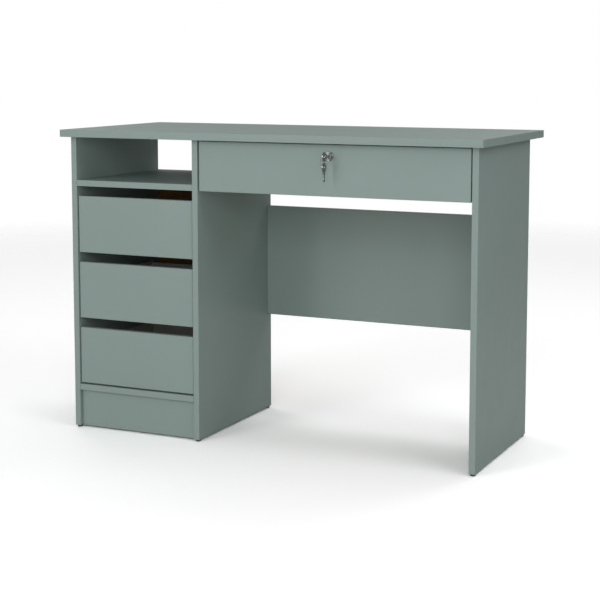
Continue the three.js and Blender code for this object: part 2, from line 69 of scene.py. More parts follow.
class Finish:
    """A material's node tree, built a node at a time, in the part's own coordinates in metres."""

    def __init__(self, name, roughness, metallic=0.0):
        self.material = bpy.data.materials.new(name)
        self.material.use_nodes = True
        self.tree = self.material.node_tree
        self.shader = self.tree.nodes["Principled BSDF"]
        self.shader.inputs["Roughness"].default_value = roughness
        self.shader.inputs["Metallic"].default_value = metallic
        self.place = self.add("ShaderNodeTexCoord").outputs["Object"]

    def add(self, kind, **settings):
        node = self.tree.nodes.new(kind)
        for name, value in settings.items():
            setattr(node, name, value)
        return node

    def put(self, socket, value):
        if isinstance(value, bpy.types.NodeSocket):
            self.tree.links.new(value, socket)
        else:
            socket.default_value = value

    def stretch(self, scale):
        """Coordinates multiplied along each axis."""
        node = self.add("ShaderNodeMapping")
        self.put(node.inputs["Vector"], self.place)
        node.inputs["Scale"].default_value = scale
        return node.outputs["Vector"]

    def noise(self, scale, detail=2.0, roughness=0.5, place=None):
        node = self.add("ShaderNodeTexNoise")
        self.put(node.inputs["Vector"], place or self.place)
        node.inputs["Scale"].default_value = scale
        node.inputs["Detail"].default_value = detail
        node.inputs["Roughness"].default_value = roughness
        return node.outputs["Fac"]

    def cells(self, scale, place=None):
        node = self.add("ShaderNodeTexVoronoi")
        self.put(node.inputs["Vector"], place or self.place)
        node.inputs["Scale"].default_value = scale
        return node.outputs["Distance"]

    def span(self, value, low, high, to_low=0.0, to_high=1.0):
        """value mapped from low..high to to_low..to_high, and held there."""
        node = self.add("ShaderNodeMapRange")
        self.put(node.inputs["Value"], value)
        ends = {"From Min": low, "From Max": high, "To Min": to_low, "To Max": to_high}
        for name, number in ends.items():
            node.inputs[name].default_value = number
        return node.outputs["Result"]

    def math(self, operation, first, second=0.0):
        node = self.add("ShaderNodeMath", operation=operation)
        self.put(node.inputs[0], first)
        self.put(node.inputs[1], second)
        return node.outputs[0]

    def mix(self, factor, first, second):
        node = self.add("ShaderNodeMix", data_type="RGBA")
        self.put(node.inputs["Factor"], factor)
        self.put(node.inputs["A"], first)
        self.put(node.inputs["B"], second)
        return [o for o in node.outputs if o.type == "RGBA"][0]

    def colour(self, value):
        self.put(self.shader.inputs["Base Color"], value)

    def rough(self, value):
        self.put(self.shader.inputs["Roughness"], value)

    def bump(self, height, depth, strength=1.0, before=None):
        """A bump whose height 0..1 is depth metres, on top of an earlier one."""
        node = self.add("ShaderNodeBump")
        node.inputs["Strength"].default_value = strength
        node.inputs["Distance"].default_value = depth
        self.put(node.inputs["Height"], height)
        if before is not None:
            self.put(node.inputs["Normal"], before)
        self.put(self.shader.inputs["Normal"], node.outputs["Normal"])
        return node.outputs["Normal"]


SAGE = linear(141, 158, 153)


def make_sage_face():
    """Melamine foil: a fine pearl grain in the surface, with a faint cloudiness in colour and gloss."""
    f = Finish("sage_melamine", roughness=0.46)
    cloud = f.noise(3.2, detail=3)
    grain = f.noise(900, detail=1)
    pores = f.cells(620)
    tone = f.mix(f.span(cloud, 0.3, 0.7), shade(SAGE, 0.975), shade(SAGE, 1.02))
    f.colour(f.mix(f.span(grain, 0.35, 0.65, 0.0, 0.10), tone, shade(SAGE, 0.82)))
    rub = f.noise(22, detail=4, roughness=0.65)
    f.rough(f.math("ADD", f.span(rub, 0.3, 0.75, 0.41, 0.50), f.span(grain, 0.3, 0.7, -0.03, 0.03)))
    first = f.bump(pores, 0.03 * MM, strength=0.5)
    f.bump(grain, 0.02 * MM, strength=0.5, before=first)
    return f.material


def make_sage_band():
    """The edging strip: the same colour in solid plastic, a little smoother, with drawn lines along it."""
    f = Finish("sage_edging", roughness=0.4)
    drawn = f.noise(40, detail=3, place=f.stretch((1, 1, 60)))
    along = f.noise(40, detail=3, place=f.stretch((60, 60, 1)))
    wear = f.span(f.noise(160, detail=4, roughness=0.7), 0.62, 0.8)
    lines = f.math("MULTIPLY", drawn, along)
    tone = f.mix(f.span(lines, 0.15, 0.4), shade(SAGE, 0.97), shade(SAGE, 1.035))
    f.colour(f.mix(f.math("MULTIPLY", wear, 0.35), tone, shade(SAGE, 1.25)))
    f.rough(f.span(f.noise(70, detail=3), 0.3, 0.7, 0.34, 0.45))
    f.bump(lines, 0.03 * MM, strength=0.4)
    return f.material


def make_seam():
    """The line of glue between the foil and the edging strip."""
    f = Finish("edging_seam", roughness=0.6)
    f.colour(f.mix(f.span(f.noise(300), 0.4, 0.6), shade(SAGE, 0.5), shade(SAGE, 0.68)))
    f.bump(f.noise(1500), 0.02 * MM)
    return f.material


def make_chipboard():
    """Raw particle board: pressed chips of several browns, with small holes."""
    f = Finish("raw_chipboard", roughness=0.9)
    chips = f.add("ShaderNodeTexVoronoi")
    f.put(chips.inputs["Vector"], f.stretch((1, 0.45, 1)))
    chips.inputs["Scale"].default_value = 420
    tone = f.mix(chips.outputs["Color"], linear(186, 152, 104), linear(136, 101, 62))
    holes = f.span(f.noise(520, detail=3), 0.3, 0.42, 1.0, 0.0)
    f.colour(f.mix(f.math("MULTIPLY", holes, 0.8), tone, linear(70, 48, 30)))
    f.bump(f.noise(620, detail=4), 0.4 * MM, strength=0.8)
    return f.material


def make_drawer_board():
    """The paper foil of the drawer boxes: light grey, matt, with a faint fibre."""
    f = Finish("drawer_box_foil", roughness=0.6)
    grey = linear(190, 194, 190)
    cloud = f.noise(5, detail=3)
    fibre = f.noise(260, detail=3, place=f.stretch((1, 0.08, 1)))
    tone = f.mix(f.span(cloud, 0.3, 0.7), shade(grey, 0.965), shade(grey, 1.02))
    f.colour(f.mix(f.span(fibre, 0.42, 0.66, 0.0, 0.16), tone, shade(grey, 0.8)))
    f.rough(f.span(f.noise(40, detail=3), 0.3, 0.7, 0.52, 0.66))
    f.bump(fibre, 0.03 * MM, strength=0.5)
    return f.material


def make_hardboard():
    """Brown hardboard: pressed fibres in all directions, with darker flecks and a dull sheen."""
    f = Finish("brown_hardboard", roughness=0.75)
    fibres = f.noise(230, detail=6, roughness=0.75)
    flecks = f.cells(150, place=f.stretch((1, 1.4, 1)))
    cloud = f.noise(6, detail=4)
    tone = f.mix(f.span(cloud, 0.3, 0.7), linear(120, 82, 46), linear(141, 99, 58))
    tone = f.mix(f.span(fibres, 0.35, 0.7), tone, linear(165, 122, 78))
    f.colour(f.mix(f.span(flecks, 0.1, 0.28, 0.6, 0.0), tone, linear(78, 49, 26)))
    f.rough(f.span(fibres, 0.3, 0.7, 0.62, 0.85))
    f.bump(fibres, 0.12 * MM, strength=0.6)
    return f.material


def make_plastic(name, colour, roughness):
    """Moulded or extruded plastic with a fine spark-eroded grain and small marks."""
    f = Finish(name, roughness=roughness)
    cloud = f.noise(60, detail=3)
    marks = f.span(f.noise(420, detail=4, roughness=0.7), 0.62, 0.78)
    tone = f.mix(f.span(cloud, 0.3, 0.7), shade(colour, 0.95), shade(colour, 1.04))
    f.colour(f.mix(f.math("MULTIPLY", marks, 0.4), tone, shade(colour, 0.7)))
    f.rough(f.span(f.noise(300, detail=3), 0.3, 0.7, roughness - 0.07, roughness + 0.08))
    f.bump(f.noise(2200, detail=2), 0.02 * MM, strength=0.5)
    return f.material


def make_metal(name, colour, dark, roughness):
    """Plated metal: drawn scratches, a soft cloud in the plating, and dull spots."""
    f = Finish(name, roughness=roughness, metallic=1.0)
    cloud = f.noise(240, detail=4)
    lines = f.noise(700, detail=3, place=f.stretch((1, 1, 26)))
    spots = f.span(f.cells(900), 0.0, 0.22, 1.0, 0.0)
    tone = f.mix(f.span(cloud, 0.3, 0.7), colour, shade(colour, 0.88))
    f.colour(f.mix(f.math("MULTIPLY", spots, 0.25), tone, dark))
    base = f.span(cloud, 0.3, 0.7, roughness * 0.8, roughness * 1.3)
    f.rough(f.math("ADD", base, f.span(lines, 0.4, 0.75, 0.0, 0.12)))
    f.bump(lines, 0.006 * MM, strength=0.5)
    return f.material


looks = {
    "sage_board": make_sage_face(),
    "sage_band": make_sage_band(),
    "seam": make_seam(),
    "chipboard": make_chipboard(),
    "drawer_box_board": make_drawer_board(),
    "hardboard": make_hardboard(),
    "runner_plastic": make_plastic("runner_plastic", linear(228, 228, 222), 0.42),
    "glide_plastic": make_plastic("glide_plastic", linear(70, 74, 72), 0.48),
    "zinc_plated_steel": make_metal("zinc_plating", linear(205, 208, 210), linear(120, 122, 124), 0.3),
    "nickel_plate": make_metal("nickel_plating", linear(148, 152, 149), linear(56, 60, 58), 0.14),
    "brass": make_metal("drawn_brass", linear(200, 168, 102), linear(110, 84, 42), 0.28),
}

# ------------------------------------------------------------------ camera, light and floor

CAMERA_PLACE = (1.514, -3.249, 0.932)
CAMERA_TILT_DOWN = 6.33
CAMERA_HEADING = 25.02


def add_camera():
    """A long lens at the front right, a little above the desktop."""
    camera = bpy.data.cameras.new("camera")
    camera.lens = 86.6
    camera.sensor_width = 36
    camera.shift_y = -0.133
    camera.clip_start = 0.05
    camera.clip_end = 100
    stand = bpy.data.objects.new("camera", camera)
    stand.location = CAMERA_PLACE
    stand.rotation_euler = (math.radians(90 - CAMERA_TILT_DOWN), 0, math.radians(CAMERA_HEADING))
    bpy.context.scene.collection.objects.link(stand)
    bpy.context.scene.camera = stand


def add_softbox(name, place, target, width, height, power):
    """A rectangular light in metres and watts that faces a target."""
    light = bpy.data.lights.new(name, "AREA")
    light.shape = "RECTANGLE"
    light.size = width
    light.size_y = height
    light.energy = power
    lamp = bpy.data.objects.new(name, light)
    lamp.location = place
    lamp.rotation_euler = (Vector(target) - Vector(place)).to_track_quat("-Z", "Y").to_euler()
    bpy.context.scene.collection.objects.link(lamp)


def add_lights():
    """Soft boxes on all sides, the largest share of light from the front.

    The strip at the front left puts the small highlights on the keys.
    """
    add_softbox("front_softbox", (1.4, -3.7, 1.4), (0, 0, 0.4), 1.8, 1.8, 45)
    add_softbox("left_softbox", (-1.6, -3.6, 2.6), (0, 0, 0.45), 1.6, 1.6, 20)
    add_softbox("low_left_softbox", (-2.2, -3.4, 0.9), (0, 0, 0.35), 1.6, 1.2, 10)
    add_softbox("right_softbox", (2.4, -0.8, 2.5), (0, 0, 0.45), 1.6, 1.6, 18)
    add_softbox("strip_softbox", (-1.3, -3.4, 1.4), (0.1, -0.25, 0.6), 0.4, 2.0, 10)
    add_softbox("low_right_softbox", (2.6, -2.2, 1.0), (0, 0, 0.4), 1.2, 1.2, 5)
    add_softbox("back_softbox", (0.6, 2.4, 3.2), (0, 0, 0.5), 2.6, 1.6, 31)
    add_softbox("back_left_softbox", (-2.4, 1.8, 3.0), (0, 0, 0.5), 1.8, 1.6, 18)


WHITE = (1, 1, 1, 1)
ROOM_STRENGTH = 0.37


def add_world():
    """Dim light that grows from nothing below to its full strength above, in front of a white wall."""
    world = bpy.data.worlds.new("studio")
    world.use_nodes = True
    bpy.context.scene.world = world
    tree = world.node_tree
    room = tree.nodes["Background"]
    room.inputs["Color"].default_value = WHITE
    direction = tree.nodes.new("ShaderNodeTexCoord")
    height = tree.nodes.new("ShaderNodeSeparateXYZ")
    strength = tree.nodes.new("ShaderNodeMapRange")
    ends = {"From Min": -1, "From Max": 1, "To Min": 0, "To Max": ROOM_STRENGTH}
    for socket, value in ends.items():
        strength.inputs[socket].default_value = value
    wall = tree.nodes.new("ShaderNodeBackground")
    wall.inputs["Color"].default_value = WHITE
    wall.inputs["Strength"].default_value = 1.0
    rays = tree.nodes.new("ShaderNodeLightPath")
    mix = tree.nodes.new("ShaderNodeMixShader")
    tree.links.new(direction.outputs["Generated"], height.inputs[0])
    tree.links.new(height.outputs["Z"], strength.inputs["Value"])
    tree.links.new(strength.outputs["Result"], room.inputs["Strength"])
    tree.links.new(rays.outputs["Is Camera Ray"], mix.inputs[0])
    tree.links.new(room.outputs[0], mix.inputs[1])
    tree.links.new(wall.outputs[0], mix.inputs[2])
    tree.links.new(mix.outputs[0], tree.nodes["World Output"].inputs["Surface"])


FLOOR_RADIUS = 6.0
FLOOR_SOLID_RADIUS = 1.2
FLOOR_SEEN = (1.5, 1.5, 1.5, 1)
FLOOR_BOUNCE = (0.6, 0.6, 0.6, 1)


def add_floor():
    """A pale studio floor that fades out before its far edge and throws back less light than it shows."""
    bm = bmesh.new()
    bmesh.ops.create_circle(bm, cap_ends=True, radius=FLOOR_RADIUS, segments=96)
    mesh = bpy.data.meshes.new("floor")
    bm.to_mesh(mesh)
    bm.free()
    floor = bpy.data.objects.new("floor", mesh)
    bpy.context.scene.collection.objects.link(floor)
    f = Finish("pale_floor", roughness=0.8)
    seen = f.add("ShaderNodeLightPath").outputs["Is Camera Ray"]
    f.colour(f.mix(seen, FLOOR_BOUNCE, FLOOR_SEEN))
    distance = f.add("ShaderNodeVectorMath", operation="LENGTH")
    f.put(distance.inputs[0], f.place)
    fade = f.span(distance.outputs["Value"], FLOOR_SOLID_RADIUS, FLOOR_RADIUS - 1, 1.0, 0.0)
    f.put(f.shader.inputs["Alpha"], fade)
    mesh.materials.append(f.material)


add_camera()
add_lights()
add_world()
add_floor()
bpy.context.scene.view_settings.view_transform = "Standard"

# ------------------------------------------------------------------ mesh tools


def link(name, mesh):
    """A mesh or a curve as an object in the scene."""
    piece = bpy.data.objects.new(name, mesh)
    bpy.context.scene.collection.objects.link(piece)
    return piece


def from_bmesh(name, bm, *finishes):
    """A bmesh as an object, its faces turned outwards, with the named looks in its material slots."""
    bmesh.ops.recalc_face_normals(bm, faces=bm.faces)
    mesh = bpy.data.meshes.new(name)
    bm.to_mesh(mesh)
    bm.free()
    for finish in finishes:
        mesh.materials.append(looks[finish])
    return link(name, mesh)


def settle(piece):
    """Applies a piece's modifiers to its mesh."""
    graph = bpy.context.evaluated_depsgraph_get()
    mesh = bpy.data.meshes.new_from_object(piece.evaluated_get(graph))
    piece.modifiers.clear()
    piece.data = mesh
    return piece


def combine(piece, operation, tools):
    """Joins shapes to a piece, or cuts them out of it, and removes the shapes."""
    for tool in tools:
        modifier = piece.modifiers.new(operation, "BOOLEAN")
        modifier.operation = operation
        modifier.solver = "EXACT"
        modifier.material_mode = "TRANSFER"
        modifier.object = tool
    settle(piece)
    for tool in tools:
        bpy.data.objects.remove(tool)
    return piece


def carve(piece, *tools):
    return combine(piece, "DIFFERENCE", tools)


def unite(piece, *tools):
    return combine(piece, "UNION", tools)


def shade_by_angle(piece, degrees=38):
    """Smooth shading, with the edges that turn by more than an angle kept sharp."""
    piece.data.shade_smooth()
    piece.data.set_sharp_from_angle(angle=math.radians(degrees))
    weighted = piece.modifiers.new("weighted", "WEIGHTED_NORMAL")
    weighted.keep_sharp = True


def round_edges(piece, width):
    """Rounds the sharp edges, whose corners are first joined where they lie together."""
    weld = piece.modifiers.new("weld", "WELD")
    weld.merge_threshold = WELD_DISTANCE
    bevel = piece.modifiers.new("round", "BEVEL")
    bevel.width = width
    bevel.segments = 2
    bevel.limit_method = "ANGLE"
    bevel.angle_limit = math.radians(35)
    bevel.harden_normals = True


def give(piece, body, slot_name, *nodes):
    """Says which body a finished piece moves with, and hides the CAD nodes it stands for. slot_name is not
    used.
    """
    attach(piece, body)
    if nodes:
        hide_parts(*nodes)
    return piece


def block(low, high, finish):
    """A box between two opposite corners."""
    bm = bmesh.new()
    bmesh.ops.create_cube(bm, size=1)
    low, high = Vector(low), Vector(high)
    bmesh.ops.scale(bm, vec=high - low, verts=bm.verts)
    bmesh.ops.translate(bm, vec=(low + high) / 2, verts=bm.verts)
    return from_bmesh("block", bm, finish)


def towards(direction, place=(0, 0, 0)):
    """A matrix that puts a shape made about +Z at a place, pointing in a direction."""
    turn = Z.rotation_difference(Vector(direction))
    return Matrix.Translation(place) @ turn.to_matrix().to_4x4()


def lathe_bmesh(profile, segments):
    """A turned shape about +Z from pairs of radius and height; a radius of 0 is a point on the axis."""
    bm = bmesh.new()
    rings = []
    for radius, height in profile:
        count = segments if radius > 0 else 1
        angles = [2 * math.pi * step / segments for step in range(count)]
        rings.append([bm.verts.new((radius * math.cos(a), radius * math.sin(a), height)) for a in angles])
    for first, second in zip(rings, rings[1:]):
        for step in range(segments):
            corners = [first[step % len(first)], first[(step + 1) % len(first)]]
            corners += [second[(step + 1) % len(second)], second[step % len(second)]]
            corners = list(dict.fromkeys(corners))
            if len(corners) > 2:
                bm.faces.new(corners)
    return bm


def turned(name, profile, place, direction, finish, segments=96):
    """A turned piece that starts at a place and points in a direction."""
    bm = lathe_bmesh(profile, segments)
    bm.transform(towards(direction, place))
    return from_bmesh(name, bm, finish)


def rod(start, end, radius, finish, segments=64):
    """A round rod between two points."""
    start, end = Vector(start), Vector(end)
    length = (end - start).length
    profile = [(0, 0), (radius, 0), (radius, length), (0, length)]
    return turned("rod", profile, start, end - start, finish, segments)


def arc(centre, radius, start, end, steps):
    """Points of an arc in a profile, with angles in degrees."""
    angles = [math.radians(start + (end - start) * step / steps) for step in range(steps + 1)]
    return [(centre[0] + radius * math.cos(a), centre[1] + radius * math.sin(a)) for a in angles]


# ------------------------------------------------------------------ finish of the CAD nodes

CAD_ROUNDING = 0.5 * MM

slots = {part["node"]: part["material_slot"] for part in frame["record"]["subparts"]}

for name, piece in frame["nodes"].items():
    piece.data.materials.clear()
    piece.data.materials.append(looks[slots[name]])
    round_edges(piece, CAD_ROUNDING)

# ------------------------------------------------------------------ boards with edging

BAND = 1.0 * MM
BAND_RADIUS = 0.55 * MM
SEAM_WIDTH = 0.2 * MM
SEAM_DEPTH = 0.12 * MM
CORNER_RADIUS = 0.9 * MM
CORNER_STEPS = 3
FACE, EDGING, SEAM = range(3)
# The gap between a part and the hole or groove that takes it.
CLEARANCE = 0.3 * MM


def board_profile(thickness):
    """Pairs of inset and height from the middle of one face, round the edge, to the middle of the other."""
    half = [(BAND + SEAM_WIDTH, 0), (BAND + SEAM_WIDTH / 2, SEAM_DEPTH), (BAND, 0)]
    half += arc((BAND_RADIUS, BAND_RADIUS), BAND_RADIUS, 270, 180, 4)
    return half + [(inset, thickness - height) for inset, height in reversed(half)]


def corner_points(half_u, half_v, inset):
    """A rectangle with rounded corners."""
    radius = max(CORNER_RADIUS - inset, 0.02 * MM)
    points = []
    for quarter, (u, v) in enumerate(((1, -1), (1, 1), (-1, 1), (-1, -1))):
        centre = (u * (half_u - inset - radius), v * (half_v - inset - radius))
        points += arc(centre, radius, 90 * quarter - 90, 90 * quarter, CORNER_STEPS)
    return points


def board(name, node, across):
    """A board with edging all round, in place of a CAD node. Its faces lie across one axis, 0 to 2."""
    low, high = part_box(node)
    u, v = [axis for axis in range(3) if axis != across]
    half_u, half_v = (high[u] - low[u]) / 2, (high[v] - low[v]) / 2
    middle = (low + high) / 2
    bm = bmesh.new()
    loops = []
    profile = board_profile(high[across] - low[across])
    for inset, height in profile:
        loop = []
        for point_u, point_v in corner_points(half_u, half_v, inset):
            place = Vector()
            place[across] = low[across] + height
            place[u] = middle[u] + point_u
            place[v] = middle[v] + point_v
            loop.append(bm.verts.new(place))
        loops.append(loop)
    count = len(loops[0])
    for row, (first, second) in enumerate(zip(loops, loops[1:])):
        in_seam = min(profile[row][0], profile[row + 1][0]) > BAND - 0.01 * MM
        for step in range(count):
            following = (step + 1) % count
            face = bm.faces.new((first[step], first[following], second[following], second[step]))
            face.material_index = SEAM if in_seam else EDGING
    for loop in (loops[0], loops[-1]):
        bm.faces.new(loop).material_index = FACE
    return from_bmesh(name, bm, "sage_board", "sage_band", "seam")


def finish_board(piece, body, *nodes):
    """Shades a board and hands it over to its body, in place of its CAD nodes."""
    shade_by_angle(piece)
    return give(piece, body, "sage_board", *nodes)


for node, across in (
    ("left_side_panel", 0),
    ("inner_side_panel", 0),
    ("right_side_panel", 0),
    ("open_shelf", 2),
    ("bottom_panel", 2),
    ("plinth_board", 1),
):
    finish_board(board(node + "_board", node, across), "carcass", node)


def add_desktop():
    """The desktop has a mortise for the lock's bolt, above the strike plate's slot."""
    piece = board("desktop_board", "desktop", 2)
    low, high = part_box("lock_bolt")
    play = 1.5 * MM
    deep = 9 * MM
    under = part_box("desktop")[0].z
    near = (low.x - play, low.y - play, under - OVERSHOOT)
    far = (high.x + play, high.y + play, under + deep)
    carve(piece, block(near, far, "chipboard"))
    finish_board(piece, "carcass", "desktop")


add_desktop()

# ------------------------------------------------------------------ drawers

DRAWERS = ("bottom_drawer", "middle_drawer", "top_drawer", "centre_drawer")


def add_front(drawer, *extra_cuts):
    """A drawer front, with the groove that takes the drawer's bottom."""
    piece = board(drawer + "_front_board", drawer + "_front", 1)
    low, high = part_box(drawer + "_bottom")
    play = Vector((CLEARANCE, CLEARANCE, CLEARANCE))
    carve(piece, block(low - play, high + play, "chipboard"), *extra_cuts)
    finish_board(piece, drawer, drawer + "_front")


for drawer in DRAWERS[:3]:
    add_front(drawer)

# ------------------------------------------------------------------ lock

rosette_low, rosette_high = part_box("lock_rosette")
plug_low, plug_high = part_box("lock_plug")
case_low, case_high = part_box("lock_case")
bolt_low, bolt_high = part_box("lock_bolt")
front_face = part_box("centre_drawer_front")[0].y
front_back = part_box("centre_drawer_front")[1].y
axis = (rosette_low + rosette_high) / 2

BARREL_RADIUS = 9 * MM
BOSS_RADIUS = 7.5 * MM
PLUG_RADIUS = 6.2 * MM
SCREW_RADIUS = 1.8 * MM
KEY_THICKNESS = 2 * MM


def on_axis(y, x=0.0, z=0.0):
    """A point on the lock's axis, or beside it by x and z."""
    return Vector((axis.x + x, y, axis.z + z))


def lock_rod(start, end, radius, finish="zinc_plated_steel"):
    """A rod along the lock's axis from one y to another."""
    return rod(on_axis(start), on_axis(end), radius, finish, 96)


def screw_places():
    """For each lock screw: its x, the y of its tip, the y of its head, and its z."""
    for number in range(1, 5):
        low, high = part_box(f"lock_screw_{number}")
        yield (low.x + high.x) / 2, low.y, high.y, (low.z + high.z) / 2


hole_radius = BARREL_RADIUS + CLEARANCE
lock_holes = [lock_rod(front_face - OVERSHOOT, front_back + OVERSHOOT, hole_radius, "chipboard")]
for x, low_y, high_y, z in screw_places():
    start, end = (x, low_y - CLEARANCE, z), (x, high_y, z)
    lock_holes.append(rod(start, end, SCREW_RADIUS + CLEARANCE, "chipboard", 24))
add_front("centre_drawer", *lock_holes)


def add_lock_case():
    """The lock's case behind the front, with its barrel and boss, and the bolt's slot open at the top."""
    case_front = front_back + CLEARANCE
    piece = block((case_low.x, case_front, case_low.z), case_high, "zinc_plated_steel")
    piece.name = "lock_body"
    unite(piece, lock_rod(case_front + OVERSHOOT, front_face, BARREL_RADIUS))
    unite(piece, lock_rod(case_front + OVERSHOOT, case_low.y, BOSS_RADIUS))
    play = Vector((0.5, 0.5, 0.5)) * MM
    slot = block(bolt_low - play, bolt_high + play + Z * OVERSHOOT, "zinc_plated_steel")
    carve(piece, lock_rod(case_low.y - OVERSHOOT, bolt_low.y, PLUG_RADIUS + CLEARANCE), slot)
    for x, low_y, high_y, z in screw_places():
        start, end = (x, low_y, z), (x, high_y, z)
        carve(piece, rod(start, end, SCREW_RADIUS + CLEARANCE, "zinc_plated_steel", 24))
    round_edges(piece, 0.35 * MM)
    shade_by_angle(piece)
    give(piece, "centre_drawer", "zinc_plated_steel", "lock_case")


def add_rosette():
    """A turned and plated ring with a rolled outer edge and a shallow dish."""
    hole = BOSS_RADIUS + CLEARANCE
    outer = 11 * MM
    rim, dish = 1.1 * MM, 1.4 * MM
    deep = rosette_high.y - rosette_low.y
    profile = [(hole, 0), (outer, 0)]
    profile += arc((outer - rim, deep - rim), rim, 0, 90, 8)
    profile += arc((outer - rim, deep + dish), dish, 270, 240, 3)[1:]
    profile += [(hole + 0.9 * MM, deep - 0.25 * MM), (hole + 0.25 * MM, deep - 0.3 * MM)]
    profile += [(hole, deep - 0.55 * MM), (hole, 0)]
    # Nothing may stand out past the CAD node's face.
    profile = [(radius, min(height, deep)) for radius, height in profile]
    piece = turned("lock_rosette_ring", profile, on_axis(rosette_high.y), -Y, "nickel_plate", 128)
    shade_by_angle(piece, 50)
    give(piece, "centre_drawer", "nickel_plate", "lock_rosette")


def add_plug():
    """The turning plug: a keyway in its chamfered face, and the pin that lifts the bolt behind it."""
    face = plug_low.y
    back = bolt_low.y - 0.25 * MM
    chamfer = 0.5 * MM
    length = back - face
    profile = [(0, 0), (PLUG_RADIUS - chamfer, 0), (PLUG_RADIUS, chamfer), (PLUG_RADIUS, length), (0, length)]
    piece = turned("lock_plug_core", profile, on_axis(face), Y, "nickel_plate")
    pin_offset, pin_radius = 4 * MM, 2 * MM
    start = on_axis(back - 0.1 * MM, -pin_offset, -pin_offset)
    end = on_axis(plug_high.y, -pin_offset, -pin_offset)
    unite(piece, rod(start, end, pin_radius, "nickel_plate", 32))
    half_thick, half_wide = KEY_THICKNESS / 2 + CLEARANCE, 4.2 * MM
    keyway_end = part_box("key_in_lock")[1].y + 3 * MM
    near = on_axis(face - OVERSHOOT, -half_thick, -half_wide)
    carve(piece, block(near, on_axis(keyway_end, half_thick, half_wide), "zinc_plated_steel"))
    round_edges(piece, 0.15 * MM)
    shade_by_angle(piece)
    give(piece, "lock_plug", "nickel_plate", "lock_plug")


KEY_LENGTH = 45 * MM
BOW_RADIUS = 10.95 * MM
KEY_HOLE = 10 * MM
KEY_HOLE_RADIUS = 3 * MM
SHOULDER = 27 * MM
HALF_NECK = 4.5 * MM
HALF_BLADE = 3.4 * MM
# Where the bow runs into the neck: distances from the bow's far end, with half widths.
BOW_TO_NECK = ((21.3 * MM, 5.6 * MM), (23.2 * MM, 4.7 * MM), (25 * MM, HALF_NECK))
# The cuts in the blade: distances from the bow's far end, with depths.
KEY_CUTS = ((31 * MM, 1.3 * MM), (35 * MM, 0.7 * MM), (39 * MM, 1.5 * MM))
HALF_CUT, HALF_CUT_FLOOR = 1.6 * MM, 0.5 * MM
SHOULDER_BEVEL = 0.4 * MM


def key_outline():
    """A key's outline in metres, from the bow's far end to the tip and back along the other side."""
    edge = []
    for angle in range(180, 42, -6):
        turn = math.radians(angle)
        edge.append((BOW_RADIUS + BOW_RADIUS * math.cos(turn), BOW_RADIUS * math.sin(turn)))
    edge += BOW_TO_NECK
    edge += [(SHOULDER - SHOULDER_BEVEL, HALF_NECK), (SHOULDER, HALF_NECK - SHOULDER_BEVEL)]
    edge.append((SHOULDER, HALF_BLADE))
    for place, depth in KEY_CUTS:
        edge.append((place - HALF_CUT, HALF_BLADE))
        edge.append((place - HALF_CUT_FLOOR, HALF_BLADE - depth))
        edge.append((place + HALF_CUT_FLOOR, HALF_BLADE - depth))
        edge.append((place + HALF_CUT, HALF_BLADE))
    edge += [(KEY_LENGTH - 2.5 * MM, HALF_BLADE), (KEY_LENGTH - 0.2 * MM, 1.0 * MM), (KEY_LENGTH, 0.5 * MM)]
    return edge + [(x, -y) for x, y in reversed(edge[1:])]


def key_blank(name):
    """A key lying along +X, its thickness along Z: rounded edges, a dished bow, a grooved blade."""
    outline = bpy.data.curves.new(name, "CURVE")
    outline.dimensions = "2D"
    outline.fill_mode = "BOTH"
    rounding = 0.25 * MM
    outline.extrude = KEY_THICKNESS / 2 - rounding
    outline.bevel_depth = rounding
    outline.bevel_resolution = 2
    outline.offset = -rounding
    angles = [2 * math.pi * step / 40 for step in range(40)]
    rim = [(KEY_HOLE + KEY_HOLE_RADIUS * math.cos(a), KEY_HOLE_RADIUS * math.sin(a)) for a in angles]
    for points in (key_outline(), rim):
        spline = outline.splines.new("POLY")
        spline.points.add(len(points) - 1)
        for point, (x, y) in zip(spline.points, points):
            point.co = (x, y, 0, 1)
        spline.use_cyclic_u = True
    curve = link(name, outline)
    graph = bpy.context.evaluated_depsgraph_get()
    mesh = bpy.data.meshes.new_from_object(curve.evaluated_get(graph))
    bpy.data.objects.remove(curve)
    mesh.materials.clear()
    mesh.materials.append(looks["nickel_plate"])
    piece = link(name, mesh)
    bm = bmesh.new()
    bm.from_mesh(mesh)
    bmesh.ops.remove_doubles(bm, verts=bm.verts, dist=WELD_DISTANCE)
    bm.to_mesh(mesh)
    bm.free()
    dish, dish_radius, dish_rim, collar = 0.3 * MM, 8.9 * MM, 9.2 * MM, 4.4 * MM
    groove_depth, groove_low, groove_high = 0.45 * MM, -0.9 * MM, 0.5 * MM
    tall = dish + 0.2 * MM
    top = KEY_THICKNESS / 2
    for side in (-1, 1):
        profile = [(0, 0), (dish_radius, 0), (dish_rim, tall), (0, tall)]
        floor = side * (top - dish)
        tool = turned("dish", profile, (BOW_RADIUS, 0, floor), (0, 0, side), "nickel_plate", 64)
        start, end = (KEY_HOLE, 0, floor - side * OVERSHOOT), (KEY_HOLE, 0, side * 3 * MM)
        carve(tool, rod(start, end, collar, "nickel_plate", 48))
        low, high = sorted((side * (top - groove_depth), side * KEY_THICKNESS))
        near, far = (SHOULDER - 3 * MM, groove_low, low), (KEY_LENGTH + OVERSHOOT, groove_high, high)
        carve(piece, tool, block(near, far, "nickel_plate"))
    return piece


def add_key(name, node, body, length_towards, thickness_towards):
    """Lays a key along its CAD node: its far end where the node begins, in the given directions."""
    piece = key_blank(name)
    along, thick = Vector(length_towards), Vector(thickness_towards)
    turn = Matrix((along, thick.cross(along), thick)).transposed().to_4x4()
    low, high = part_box(node)
    middle = (low + high) / 2
    far_end = middle - along * KEY_LENGTH / 2
    piece.data.transform(Matrix.Translation(far_end) @ turn)
    shade_by_angle(piece, 32)
    give(piece, body, "nickel_plate", node)


